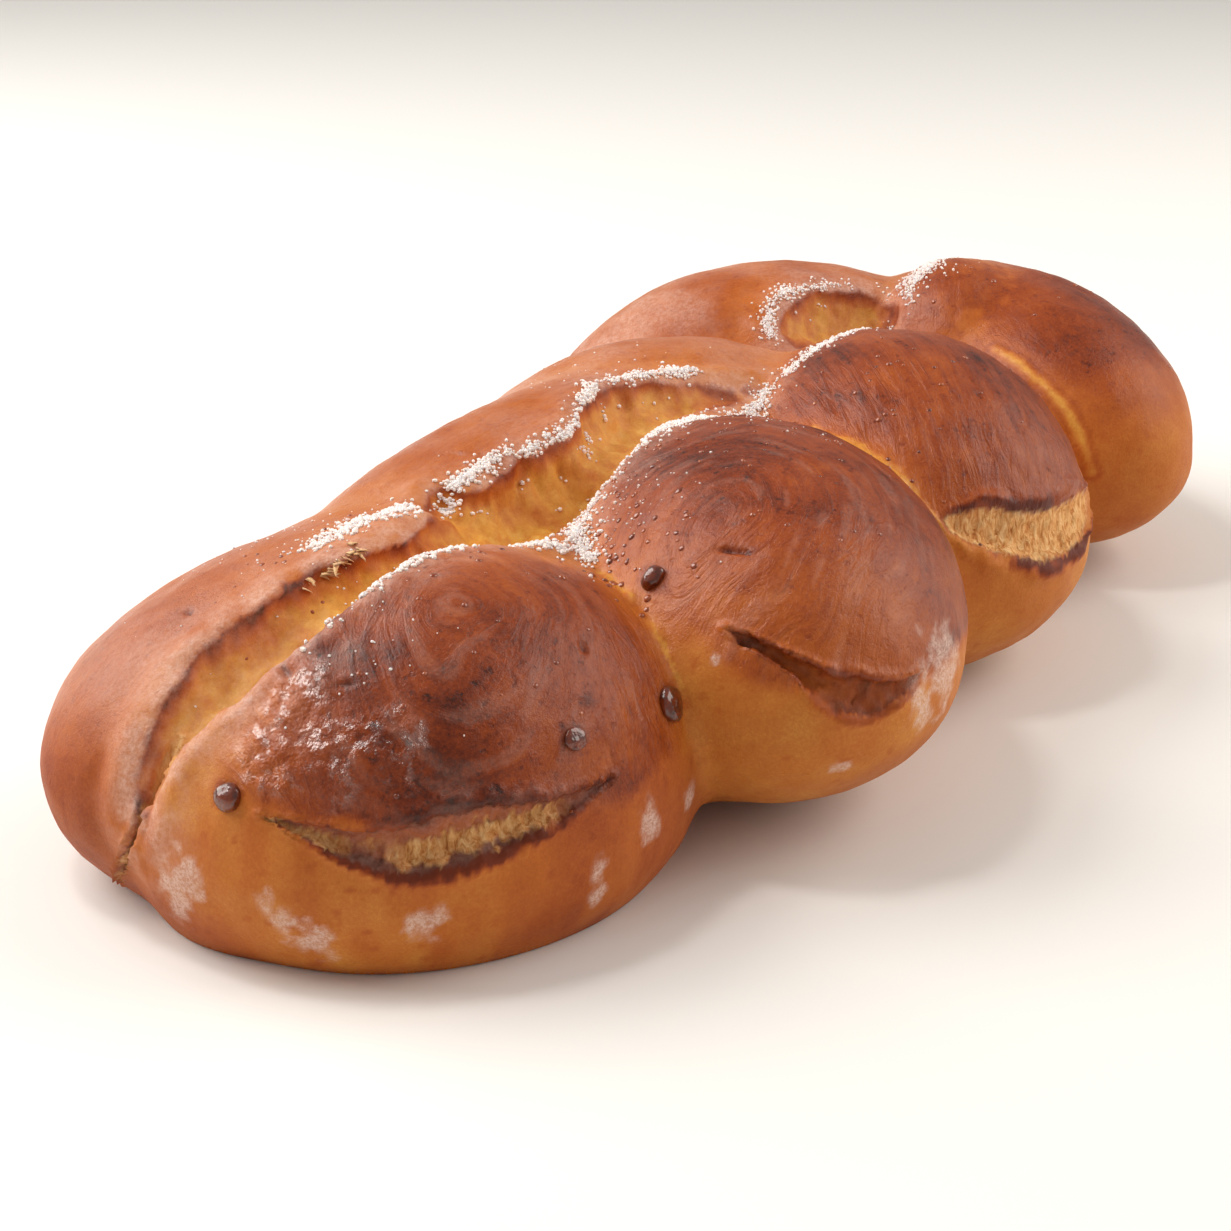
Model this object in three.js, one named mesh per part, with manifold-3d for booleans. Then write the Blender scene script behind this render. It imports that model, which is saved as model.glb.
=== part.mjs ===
// A braided loaf of Portuguese sweet bread, one solid, in millimetres with +Z up.
// The loaf lies along X, near end at -X, and rests on its flat bottom at Z = 0.
// Two rows of risen strand bulges cross one another along the middle. Between them
// lie the pale valleys where the dough stretched, and some bulges have split skins.
import * as THREE from 'three';
import { mergeVertices } from 'three/addons/utils/BufferGeometryUtils.js';
import Module from 'manifold-3d';

const wasm = await Module();
wasm.setup();

// ---------------------------------------------------------------- driving dimensions

// Each bulge is an egg shape: its centre, the turn of its long axis from +X in degrees,
// and its half sizes along that axis, across it, upwards and downwards.
const RIGHT_BULGES = [
  { x: -114, y: -1, z: 17, turn: 62, along: 39, across: 51, up: 44, down: 31 },
  { x: -42, y: -29, z: 31, turn: 38, along: 57, across: 41, up: 37, down: 31 },
  { x: 32, y: -30, z: 28, turn: 42, along: 50, across: 42, up: 41, down: 31 },
  { x: 114, y: -27, z: 29, turn: 58, along: 58, across: 35, up: 36, down: 31 },
];
const LEFT_BULGES = [
  { x: -94, y: 22, z: 20, turn: -30, along: 69, across: 44, up: 38, down: 37 },
  { x: -30, y: 21, z: 26, turn: -11, along: 83, across: 36, up: 40, down: 34 },
  { x: 12, y: 21, z: 24, turn: -28, along: 58, across: 36, up: 42, down: 34 },
  { x: 87, y: 28, z: 24, turn: -33, along: 63, across: 38, up: 42, down: 34 },
];
// The low shoulders of the left row, the tucked ends, the dough under the braid, the nose
// of the first left bulge, and the high shoulder of the last right one.
const BODY_BULGES = [
  { x: -34, y: 41, z: 16, turn: -30, along: 44, across: 34, up: 32, down: 34 },
  { x: 24, y: 43, z: 16, turn: -30, along: 44, across: 34, up: 32, down: 34 },
  { x: 132, y: 9, z: 20, turn: 0, along: 30, across: 30, up: 30, down: 34 },
  { x: -136, y: 21, z: 18, turn: 0, along: 25, across: 25, up: 30, down: 31 },
  { x: 4, y: 1, z: 22, turn: 0, along: 120, across: 60, up: 24, down: 34 },
  { x: -97, y: 21, z: 45, turn: -24, along: 16, across: 8, up: 14, down: 20 },
  { x: 106, y: -15, z: 48, turn: 20, along: 22, across: 17, up: 19.8, down: 20 },
];
const CREASE_ROUNDING = 2.2;

// Each valley is a hollow swept along the middle of the braid. A stop gives the place of
// its middle line, the height of its brim, its half width and its depth.
const VALLEYS = [
  [
    { x: -161, y: 32, brim: 26, half: 3, depth: 5 },
    { x: -153, y: 29, brim: 40, half: 5, depth: 7 },
    { x: -145, y: 24.5, brim: 48, half: 8.5, depth: 10 },
    { x: -133, y: 18.5, brim: 56, half: 10.5, depth: 12 },
    { x: -120, y: 14.5, brim: 60, half: 10, depth: 11 },
    { x: -108, y: 10, brim: 61, half: 6.5, depth: 8 },
  ],
  [
    { x: -104, y: 9, brim: 61, half: 5, depth: 6 },
    { x: -90, y: 7, brim: 61, half: 8, depth: 10 },
    { x: -76, y: 6, brim: 62, half: 11, depth: 14 },
    { x: -60, y: 5, brim: 64, half: 9, depth: 16 },
    { x: -46, y: 3, brim: 66, half: 7, depth: 14 },
    { x: -34, y: 6, brim: 67, half: 8, depth: 11 },
    { x: -20, y: 7, brim: 68, half: 9, depth: 12 },
    { x: -8, y: 4, brim: 67, half: 6, depth: 10 },
    { x: 0, y: 0, brim: 65, half: 5, depth: 7 },
    { x: 12, y: -5, brim: 62, half: 3, depth: 4 },
  ],
  [
    { x: 60, y: 7, brim: 60, half: 6, depth: 7 },
    { x: 68, y: 6, brim: 62, half: 9.5, depth: 11 },
    { x: 79, y: 4, brim: 63, half: 10, depth: 13 },
    { x: 89, y: 0, brim: 60, half: 7, depth: 9 },
  ],
];
const VALLEY_MEETING = 1.6;
const LIP_ROUNDING = 1.2;
// Above its brim a valley opens more slowly than below it.
const VALLEY_OPENING = 0.35;

// Splits in the skin: stops along the surface, the way the split faces, and its half
// height and depth at the middle.
const SPLITS = [
  {
    stops: [
      [-160, 3, 31], [-159, -4, 29.5], [-156, -11, 27.5], [-152, -18, 27],
      [-147, -23, 27.5], [-140, -29, 28.5], [-131, -35, 29], [-121, -38.5, 30.5],
    ],
    facing: [-0.75, -0.65, 0.1],
    half: 3.8,
    depth: 3.6,
  },
  {
    stops: [[-88, -47, 47], [-88, -53, 45], [-87, -59, 42.5], [-83, -68, 37], [-79, -71, 36], [-66, -76, 38]],
    facing: [-0.6, -0.75, 0.25],
    half: 2.4,
    depth: 2.4,
  },
  {
    stops: [[-9, -54, 45], [-2, -63, 41.5], [4, -69, 39], [10, -72, 37.5], [17, -74, 37], [34, -73.5, 38]],
    facing: [-0.4, -0.88, 0.25],
    half: 5.2,
    depth: 2.6,
  },
  {
    stops: [[-151, 30, 35], [-156, 31, 28], [-158, 32, 22], [-159, 34.5, 18], [-153, 43, 6]],
    facing: [-0.9, 0.35, 0.2],
    half: 1.2,
    depth: 3.6,
  },
];
const SPLIT_STEPS = 10;
const SPLIT_SIDES = 6;

// Dark caramelised blisters of the crust.
const BLISTERS = [
  { x: -160, y: 12, z: 33, radius: 2.7 },
  { x: -98, y: -39, z: 36, radius: 3 },
  { x: -124, y: -34, z: 39, radius: 2.6 },
  { x: -82, y: -27, z: 52, radius: 2.6 },
];

// Coarse sugar lies along the edges of the valleys: plan stops of each line, the number
// of grains on it, and how far they stray from it.
const SUGAR_LINES = [
  { stops: [[-138, 9], [-117, 3], [-92, 2], [-79, -6]], grains: 15, stray: 2 },
  { stops: [[-72, -6], [-50, -3], [-38, -6], [-18, -8], [2, -8], [14, -7]], grains: 23, stray: 3 },
  { stops: [[28, -8], [42, -12], [66, -9], [94, -9]], grains: 16, stray: 3 },
  { stops: [[100, -9], [110, -9]], grains: 5, stray: 3 },
  { stops: [[-110, 31], [-103, 27], [-88, 22]], grains: 13, stray: 3 },
  {
    stops: [[-81, 23], [-67, 21], [-53, 15], [-42, 13], [-30, 18], [-16, 18], [-6, 14]],
    grains: 17,
    stray: 2,
  },
  { stops: [[3, 10], [17, 3]], grains: 5, stray: 1.5 },
  { stops: [[64, 16], [75, 19], [84, 15], [93, 8]], grains: 10, stray: 1.5 },
];
const GRAIN_RADIUS = { least: 0.8, most: 1.25 };
const GRAIN_SUNK = 0.3;
const SUGAR_SEED = 20;

// The skin's mesh: rays leave a line through the middle of the dough.
const SPINE = { from: -96, to: 94, height: 22 };
const SECTION = { halfWidth: 80, halfHeight: 46 };
const RINGS_ALONG = 35;
const RINGS_ON_END = 11;
const POINTS_OVER = 48;
const POINTS_UNDER = 6;
const UNDER_ANGLE = 15;
const CREASE_LEAN = 0.4;
const RAY_LENGTH = 120;
const RAY_STEP = 2;
const HALVINGS = 14;
const FLOOR_BLOCK = 400;
const CORNER_GAP = 0.001;

const CRUST = new THREE.MeshStandardMaterial({
  color: 0xa85c2c,
  roughness: 0.42,
  metalness: 0,
});

// ---------------------------------------------------------------- the form of the loaf

// Distance to one bulge, negative inside it.
function bulgeDistance(point, bulge) {
  const turn = THREE.MathUtils.degToRad(bulge.turn);
  const dx = point.x - bulge.x;
  const dy = point.y - bulge.y;
  const dz = point.z - bulge.z;
  const u = dx * Math.cos(turn) + dy * Math.sin(turn);
  const v = -dx * Math.sin(turn) + dy * Math.cos(turn);
  const rise = dz > 0 ? bulge.up : bulge.down;
  const reach = Math.hypot(u / bulge.along, v / bulge.across, dz / rise) + 1e-9;
  const slope = Math.hypot(u / bulge.along ** 2, v / bulge.across ** 2, dz / rise ** 2) + 1e-9;
  return (reach * (reach - 1)) / slope;
}

// The least of several distances, rounded where two are nearly equal.
function roundedLeast(distances, rounding) {
  const least = Math.min(...distances);
  let total = 0;
  for (const distance of distances) {
    total += Math.exp(-(distance - least) / rounding);
  }
  return least - rounding * Math.log(total);
}

// Distance to the hollow swept through the stops of one valley.
function valleyDistance(point, stops) {
  let nearest = Infinity;
  for (let i = 0; i + 1 < stops.length; i += 1) {
    const a = stops[i];
    const b = stops[i + 1];
    const dx = b.x - a.x;
    const dy = b.y - a.y;
    const along = ((point.x - a.x) * dx + (point.y - a.y) * dy) / (dx * dx + dy * dy);
    const share = THREE.MathUtils.clamp(along, 0, 1);
    const half = THREE.MathUtils.lerp(a.half, b.half, share);
    const depth = THREE.MathUtils.lerp(a.depth, b.depth, share);
    const aside = Math.hypot(point.x - a.x - share * dx, point.y - a.y - share * dy);
    const above = point.z - THREE.MathUtils.lerp(a.brim, b.brim, share);
    const rise = above > 0 ? above * VALLEY_OPENING : above;
    const reach = Math.hypot(aside / half, rise / depth);
    nearest = Math.min(nearest, (reach - 1) * Math.min(half, depth));
  }
  return nearest;
}

const ALL_BULGES = [...RIGHT_BULGES, ...LEFT_BULGES, ...BODY_BULGES];

// Distance to the skin of the loaf, negative in the dough.
function loafDistance(point) {
  const dough = roundedLeast(ALL_BULGES.map((bulge) => bulgeDistance(point, bulge)), CREASE_ROUNDING);
  const hollow = roundedLeast(VALLEYS.map((stops) => valleyDistance(point, stops)), VALLEY_MEETING);
  return -roundedLeast([-dough, hollow], LIP_ROUNDING);
}

// Where a ray from inside the dough leaves it for the last time.
function skinPoint(start, direction) {
  const at = (length) => start.clone().addScaledVector(direction, length);
  let inside = RAY_LENGTH;
  while (inside > 0 && loafDistance(at(inside)) > 0) {
    inside -= RAY_STEP;
  }
  let outside = inside + RAY_STEP;
  for (let i = 0; i < HALVINGS; i += 1) {
    const middle = (inside + outside) / 2;
    if (loafDistance(at(middle)) > 0) {
      outside = middle;
    } else {
      inside = middle;
    }
  }
  return at(inside);
}

// ---------------------------------------------------------------- closed meshes

// A closed skin from rings of points between two end points.
function ringsGeometry(first, rings, last) {
  const count = rings[0].length;
  const points = [first, ...rings.flat(), last];
  const ring = (i, j) => 1 + i * count + (j % count);
  const end = points.length - 1;
  const faces = [];
  for (let j = 0; j < count; j += 1) {
    faces.push(0, ring(0, j + 1), ring(0, j));
    for (let i = 0; i + 1 < rings.length; i += 1) {
      faces.push(ring(i, j), ring(i, j + 1), ring(i + 1, j + 1));
      faces.push(ring(i, j), ring(i + 1, j + 1), ring(i + 1, j));
    }
    faces.push(end, ring(rings.length - 1, j), ring(rings.length - 1, j + 1));
  }
  const geometry = new THREE.BufferGeometry();
  geometry.setFromPoints(points);
  geometry.setIndex(faces);
  return geometry;
}

// Six times the volume that a closed mesh holds, negative if it is inside out.
function signedVolume(geometry) {
  const position = geometry.getAttribute('position');
  const index = geometry.getIndex();
  const corners = [new THREE.Vector3(), new THREE.Vector3(), new THREE.Vector3()];
  let total = 0;
  for (let i = 0; i < index.count; i += 3) {
    corners.forEach((corner, k) => corner.fromBufferAttribute(position, index.getX(i + k)));
    total += corners[0].dot(corners[1].clone().cross(corners[2]));
  }
  return total;
}

function solidFrom(geometry) {
  const vertProperties = new Float32Array(geometry.getAttribute('position').array);
  const triVerts = new Uint32Array(geometry.getIndex().array);
  if (signedVolume(geometry) < 0) {
    for (let i = 0; i < triVerts.length; i += 3) {
      [triVerts[i + 1], triVerts[i + 2]] = [triVerts[i + 2], triVerts[i + 1]];
    }
  }
  return new wasm.Manifold(new wasm.Mesh({ numProp: 3, vertProperties, triVerts }));
}

function geometryFrom(solid) {
  const mesh = solid.getMesh();
  const geometry = new THREE.BufferGeometry();
  geometry.setAttribute('position', new THREE.BufferAttribute(new Float32Array(mesh.vertProperties), 3));
  geometry.setIndex(new THREE.BufferAttribute(new Uint32Array(mesh.triVerts), 1));
  return geometry;
}

// The same geometry with its faces joined at shared corners.
function withSharedCorners(geometry) {
  const bare = geometry.clone();
  bare.deleteAttribute('normal');
  bare.deleteAttribute('uv');
  return mergeVertices(bare, CORNER_GAP);
}

// ---------------------------------------------------------------- the pieces of the solid

// The angles of the points round one section: close over the top, wide underneath.
function sectionAngles() {
  const under = THREE.MathUtils.degToRad(UNDER_ANGLE);
  const over = Math.PI + 2 * under;
  const angles = [];
  for (let j = 0; j < POINTS_OVER; j += 1) {
    angles.push(-under + (over * j) / POINTS_OVER);
  }
  for (let j = 0; j < POINTS_UNDER; j += 1) {
    angles.push(Math.PI + under + ((2 * Math.PI - over) * j) / POINTS_UNDER);
  }
  return angles;
}

// The way out of the dough at one angle of the section. Away from the middle it leans
// towards the near end, as the creases between the bulges do.
function wayOut(angle) {
  const aside = Math.cos(angle) * SECTION.halfWidth;
  return new THREE.Vector3(-CREASE_LEAN * Math.abs(aside), aside, Math.sin(angle) * SECTION.halfHeight);
}

// One ring of the skin, at a place on the spine. Turn goes from nothing at a pole of the
// loaf, where the rays run along X, to a quarter turn on the straight part.
function skinRing(x, towards, turn, angles) {
  const start = new THREE.Vector3(x, 0, SPINE.height);
  const pole = new THREE.Vector3(towards * SECTION.halfWidth, 0, 0);
  return angles.map((angle) => {
    const direction = wayOut(angle).multiplyScalar(Math.sin(turn)).addScaledVector(pole, Math.cos(turn));
    return skinPoint(start, direction.normalize());
  });
}

function doughSolid() {
  const angles = sectionAngles();
  const quarter = Math.PI / 2;
  const rings = [];
  for (let i = 1; i <= RINGS_ON_END; i += 1) {
    rings.push(skinRing(SPINE.from, -1, quarter * (i / (RINGS_ON_END + 1)), angles));
  }
  for (let i = 0; i <= RINGS_ALONG; i += 1) {
    const x = THREE.MathUtils.lerp(SPINE.from, SPINE.to, i / RINGS_ALONG);
    rings.push(skinRing(x, 1, quarter, angles));
  }
  for (let i = RINGS_ON_END; i >= 1; i -= 1) {
    rings.push(skinRing(SPINE.to, 1, quarter * (i / (RINGS_ON_END + 1)), angles));
  }
  const nearPole = skinPoint(new THREE.Vector3(SPINE.from, 0, SPINE.height), new THREE.Vector3(-1, 0, 0));
  const farPole = skinPoint(new THREE.Vector3(SPINE.to, 0, SPINE.height), new THREE.Vector3(1, 0, 0));
  const whole = solidFrom(ringsGeometry(nearPole, rings, farPole));
  const block = new THREE.BoxGeometry(FLOOR_BLOCK, FLOOR_BLOCK, FLOOR_BLOCK);
  block.translate(0, 0, -FLOOR_BLOCK / 2);
  return whole.subtract(solidFrom(withSharedCorners(block)));
}

// A spindle along a split, widest and deepest at its middle, pointed at both ends.
function splitSolid(split) {
  const curve = new THREE.CatmullRomCurve3(split.stops.map((stop) => new THREE.Vector3(...stop)));
  const facing = new THREE.Vector3(...split.facing).normalize();
  const rings = [];
  for (let i = 1; i < SPLIT_STEPS; i += 1) {
    const share = i / SPLIT_STEPS;
    const swell = Math.sqrt(Math.sin(Math.PI * share));
    const centre = curve.getPoint(share);
    const tangent = curve.getTangent(share);
    const side = new THREE.Vector3().crossVectors(tangent, facing).normalize();
    const deep = new THREE.Vector3().crossVectors(side, tangent).normalize();
    const ring = [];
    for (let j = 0; j < SPLIT_SIDES; j += 1) {
      const angle = (2 * Math.PI * j) / SPLIT_SIDES;
      const point = centre.clone();
      point.addScaledVector(side, Math.cos(angle) * split.half * swell);
      point.addScaledVector(deep, Math.sin(angle) * split.depth * swell);
      ring.push(point);
    }
    rings.push(ring);
  }
  return solidFrom(ringsGeometry(curve.getPoint(0), rings, curve.getPoint(1)));
}

function blisterSolid(blister) {
  const ball = new THREE.IcosahedronGeometry(blister.radius, 1);
  ball.translate(blister.x, blister.y, blister.z);
  return solidFrom(withSharedCorners(ball));
}

// Numbers from 0 to 1 that are the same on every run.
function seededDraw(seed) {
  let state = seed;
  return () => {
    state = (Math.imul(state, 1664525) + 1013904223) >>> 0;
    return state / 2 ** 32;
  };
}

// Coarse grains, each resting in the crust where a plumb line meets it.
function grainSolids(bread) {
  const draw = seededDraw(SUGAR_SEED);
  const target = new THREE.Mesh(geometryFrom(bread));
  const plumb = new THREE.Raycaster();
  const grains = [];
  for (const line of SUGAR_LINES) {
    const route = new THREE.CatmullRomCurve3(line.stops.map(([x, y]) => new THREE.Vector3(x, y, 0)));
    for (let i = 0; i < line.grains; i += 1) {
      const place = route.getPoint((i + draw()) / line.grains);
      const radius = THREE.MathUtils.lerp(GRAIN_RADIUS.least, GRAIN_RADIUS.most, draw());
      const x = place.x + (draw() - 0.5) * 2 * line.stray;
      const y = place.y + (draw() - 0.5) * 2 * line.stray;
      plumb.set(new THREE.Vector3(x, y, RAY_LENGTH), new THREE.Vector3(0, 0, -1));
      const [hit] = plumb.intersectObject(target);
      const grain = new THREE.IcosahedronGeometry(radius, 0);
      grain.rotateX(draw() * Math.PI);
      grain.rotateZ(draw() * Math.PI);
      grain.translate(x, y, hit.point.z + radius * (1 - 2 * GRAIN_SUNK));
      grains.push(solidFrom(withSharedCorners(grain)));
    }
  }
  return grains;
}

function breadGeometry() {
  let bread = doughSolid();
  for (const split of SPLITS) {
    bread = bread.subtract(splitSolid(split));
  }
  bread = wasm.Manifold.union([bread, ...BLISTERS.map(blisterSolid)]);
  bread = wasm.Manifold.union([bread, ...grainSolids(bread)]);
  return geometryFrom(bread);
}

const group = new THREE.Group();
const bread = new THREE.Mesh(breadGeometry(), CRUST);
bread.name = 'bread';
group.add(bread);

export default group;
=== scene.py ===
import math

import bmesh
import bpy
import numpy as np
from mathutils import Matrix, Vector
from mathutils.bvhtree import BVHTree


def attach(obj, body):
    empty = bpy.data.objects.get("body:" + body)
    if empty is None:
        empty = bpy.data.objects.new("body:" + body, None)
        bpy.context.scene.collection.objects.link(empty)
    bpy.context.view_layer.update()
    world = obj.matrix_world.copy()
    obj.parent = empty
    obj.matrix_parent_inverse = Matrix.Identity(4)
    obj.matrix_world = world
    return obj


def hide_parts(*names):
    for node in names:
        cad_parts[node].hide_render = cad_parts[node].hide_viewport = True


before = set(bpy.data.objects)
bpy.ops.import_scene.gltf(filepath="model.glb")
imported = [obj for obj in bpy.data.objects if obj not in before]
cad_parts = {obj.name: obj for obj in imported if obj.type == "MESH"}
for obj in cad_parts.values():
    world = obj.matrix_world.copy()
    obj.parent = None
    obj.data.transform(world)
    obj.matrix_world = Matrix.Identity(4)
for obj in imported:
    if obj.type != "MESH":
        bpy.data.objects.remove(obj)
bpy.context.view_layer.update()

MM = 0.001
SEED = 7

# ---- the loaf's sizes, mm

# x, y, z of the middle, turn from +X in degrees, half sizes along, across, up and down.
BULGES = {
    "right 1": (-114, -1, 17, 62, 39, 51, 44, 31),
    "right 2": (-42, -29, 31, 38, 57, 41, 37, 31),
    "right 3": (32, -30, 28, 42, 50, 42, 41, 31),
    "right 4": (114, -27, 29, 58, 58, 35, 36, 31),
    "left 1": (-94, 22, 20, -30, 69, 44, 38, 37),
    "left 2": (-30, 21, 26, -11, 83, 36, 40, 34),
    "left 3": (12, 21, 24, -28, 58, 36, 42, 34),
    "left 4": (87, 28, 24, -33, 63, 38, 42, 34),
    "shoulder 2": (-34, 41, 16, -30, 44, 34, 32, 34),
    "shoulder 3": (24, 43, 16, -30, 44, 34, 32, 34),
    "far end": (132, 9, 20, 0, 30, 30, 30, 34),
    "near end": (-136, 21, 18, 0, 25, 25, 30, 31),
    "base": (4, 1, 22, 0, 120, 60, 24, 34),
    "left 1 nose": (-97, 21, 45, -24, 16, 8, 14, 20),
    "right 4 shoulder": (106, -15, 48, 20, 22, 17, 19.8, 20),
}


def bulge_numbers(*names):
    return [list(BULGES).index(name) for name in names]


RIGHT_BULGES = bulge_numbers("right 1", "right 2", "right 3", "right 4")
FIRST, SECOND, THIRD, FOURTH = RIGHT_BULGES
LEFT_BULGES = bulge_numbers("left 1", "left 2", "left 3", "left 4", "near end", "left 1 nose")
LEFT_ROW = LEFT_BULGES + bulge_numbers("shoulder 2", "shoulder 3")
SMOOTH_BULGES = LEFT_BULGES + bulge_numbers("right 4", "right 4 shoulder")
CREASE_ROUNDING = 2.2

# Valleys between the two rows: x, y, height of the brim, half width, depth.
VALLEYS = [
    [(-161, 32, 26, 3, 5), (-153, 29, 40, 5, 7), (-145, 24.5, 48, 8.5, 10),
     (-133, 18.5, 56, 10.5, 12), (-120, 14.5, 60, 10, 11), (-108, 10, 61, 6.5, 8)],
    [(-104, 9, 61, 5, 6), (-90, 7, 61, 8, 10), (-76, 6, 62, 11, 14), (-60, 5, 64, 9, 16),
     (-46, 3, 66, 7, 14), (-34, 6, 67, 8, 11), (-20, 7, 68, 9, 12), (-8, 4, 67, 6, 10),
     (0, 0, 65, 5, 7), (12, -5, 62, 3, 4)],
    [(60, 7, 60, 6, 7), (68, 6, 62, 9.5, 11), (79, 4, 63, 10, 13), (89, 0, 60, 7, 9)],
    [(-84, 18, 61, 2.5, 6), (-78, 20, 61, 3, 5)],
]
VALLEY_MEETING = 1.6
LIP_ROUNDING = 0.55
SPLIT_ROUNDING = 0.35
VALLEY_OPENING = 0.35
SPLIT_SHARPNESS = 2.2

# Splits in the skin: stops of x, y, z and half height, the way it faces, and its depth.
SPLITS = {
    "right 1 front": (
        [(-160, 3, 31, 0.4), (-159, -4, 29.5, 1.3), (-156, -11, 27.5, 2.2), (-152, -18, 27, 3.8),
         (-147, -23, 27.5, 4.0), (-140, -29, 28.5, 3.3), (-131, -35, 29, 1.9), (-121, -38.5, 30.5, 0.5)],
        (-0.75, -0.65, 0.1), 3.6),
    "right 2": (
        [(-88, -47, 47, 0.7), (-88, -53, 45, 1.0), (-87, -59, 42.5, 1.4), (-86, -63, 39.5, 2.4),
         (-83, -68, 37, 3.2), (-79, -71, 36, 2.8), (-73, -74, 36.5, 1.6), (-66, -76, 38, 0.5)],
        (-0.6, -0.75, 0.25), 2.4),
    "right 3": (
        [(-9, -54, 45, 0.6), (-6, -58, 43, 2.4), (-2, -63, 41.5, 4.2), (4, -69, 39, 4.9),
         (10, -72, 37.5, 5.2), (17, -74, 37, 5.4), (27, -75, 37, 5.0), (34, -73.5, 38, 2.6)],
        (-0.4, -0.88, 0.25), 2.6),
    "near end": (
        [(-151, 30, 35, 1.0), (-156, 31, 28, 1.0), (-158, 32, 22, 0.9), (-159, 34.5, 18, 0.8),
         (-157, 39, 12, 0.7), (-153, 43, 6, 0.5)],
        (-0.9, 0.35, 0.2), 3.6),
}
SPLIT_STEPS = 33
SPLIT_END = 2.0  # how far a split runs out past its last stop

# Dark caramelised blisters: x, y, z, radius, and how wide and tall they are for their length.
BLISTERS = [(-160, 12, 33, 2.4, 1, 0.9), (-98, -39, 36, 3.0, 1.15, 0.5), (-124, -34, 39, 2.4, 0.8, 0.3),
            (-82, -27, 52, 2.6, 0.8, 0.6)]
FAR_AWAY = 1e9


# ---- numbers from noise

def hashed(cells, seed):
    """A number from 0 to 1 for each whole-number cell. A seed picks one pattern of many."""
    whole = cells.astype(np.int64).astype(np.uint32)
    mixed = whole[..., 0] * np.uint32(0x8DA6B343) ^ whole[..., 1] * np.uint32(0xD8163841)
    mixed = mixed ^ whole[..., 2] * np.uint32(0xCB1AB31F) ^ np.uint32(seed * 0x9E3779B1 % 2**32)
    mixed ^= mixed >> np.uint32(15)
    mixed = mixed * np.uint32(0x2C1B3C6D)
    mixed ^= mixed >> np.uint32(12)
    mixed = mixed * np.uint32(0x297A2D39)
    mixed ^= mixed >> np.uint32(15)
    return mixed / 2.0**32


def noise(points, seed=0):
    """Smooth noise from -1 to 1 with one bump in each unit cell."""
    low = np.floor(points)
    t = points - low
    t = t * t * t * (t * (t * 6 - 15) + 10)
    total = 0.0
    for corner in range(8):
        step = np.array([corner & 1, corner >> 1 & 1, corner >> 2 & 1])
        weight = np.prod(np.where(step == 1, t, 1 - t), axis=-1)
        total = total + weight * hashed(low + step, seed)
    return total * 2 - 1


def layered(points, seed=0, layers=3):
    """Noise with finer and weaker layers added."""
    total = 0.0
    strength = 1.0
    for layer in range(layers):
        total = total + strength * noise(points * 2.03**layer + 17.3 * layer, seed + layer)
        strength *= 0.5
    return total


def ramp(value, low, high):
    """0 below low, 1 above high, smooth between."""
    t = np.clip((value - low) / (high - low), 0, 1)
    return t * t * (3 - 2 * t)


def bell(value, middle, width):
    """1 at the middle, falling off smoothly to both sides."""
    return np.exp(-(((value - middle) / width) ** 2))


def unit(vectors):
    return vectors / np.linalg.norm(vectors, axis=-1, keepdims=True)


# ---- the form of the loaf

def bulge_frame(points, bulge):
    """A point's place along, across and above a bulge's middle."""
    x, y, z, turn = bulge[:4]
    angle = math.radians(turn)
    dx = points[..., 0] - x
    dy = points[..., 1] - y
    along = dx * math.cos(angle) + dy * math.sin(angle)
    across = -dx * math.sin(angle) + dy * math.cos(angle)
    return along, across, points[..., 2] - z


def bulge_distance(points, bulge):
    """Distance to an egg-shaped bulge, negative inside."""
    along, across, above = bulge_frame(points, bulge)
    a, b, up, down = bulge[4:]
    rise = np.where(above > 0, up, down)
    reach = np.sqrt((along / a) ** 2 + (across / b) ** 2 + (above / rise) ** 2) + 1e-9
    slope = np.sqrt((along / a**2) ** 2 + (across / b**2) ** 2 + (above / rise**2) ** 2) + 1e-9
    return reach * (reach - 1) / slope


def rounded_least(distances, rounding):
    """The least of several distances, with the creases between them rounded."""
    least = distances.min(0)
    return least - rounding * np.log(np.exp(-(distances - least) / rounding).sum(0))


def valley_distance(points, stops):
    """Distance to a valley that sweeps along its stops, widening above its brim."""
    nearest = np.full(points.shape[:-1], FAR_AWAY)
    for a, b in zip(np.array(stops[:-1], float), np.array(stops[1:], float)):
        way = b[:2] - a[:2]
        share = (points[..., 0] - a[0]) * way[0] + (points[..., 1] - a[1]) * way[1]
        share = (share / (way @ way)).clip(0, 1)
        x, y, brim, half, depth = [a[k] + share * (b[k] - a[k]) for k in range(5)]
        aside = np.hypot(points[..., 0] - x, points[..., 1] - y)
        above = points[..., 2] - brim
        rise = np.where(above > 0, VALLEY_OPENING, 1) * above
        reach = np.sqrt((aside / half) ** 2 + (rise / depth) ** 2)
        nearest = np.minimum(nearest, (reach - 1) * np.minimum(half, depth))
    return nearest


def dough_distances(points):
    return np.stack([bulge_distance(points, bulge) for bulge in BULGES.values()])


def hollow_distance(points):
    valleys = np.stack([valley_distance(points, stops) for stops in VALLEYS])
    return rounded_least(valleys, VALLEY_MEETING)


def smooth_route(stops, steps):
    """Points on a smooth curve through the stops."""
    stops = np.array(stops, float)
    padded = np.vstack([2 * stops[0] - stops[1], stops, 2 * stops[-1] - stops[-2]])
    route = []
    for value in np.linspace(0, len(stops) - 1, steps):
        k = min(int(value), len(stops) - 2)
        t = value - k
        a, b, c, d = padded[k:k + 4]
        route.append(0.5 * (2 * b + (c - a) * t + (2 * a - 5 * b + 4 * c - d) * t**2
                            + (3 * b - a - 3 * c + d) * t**3))
    return np.array(route)


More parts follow.
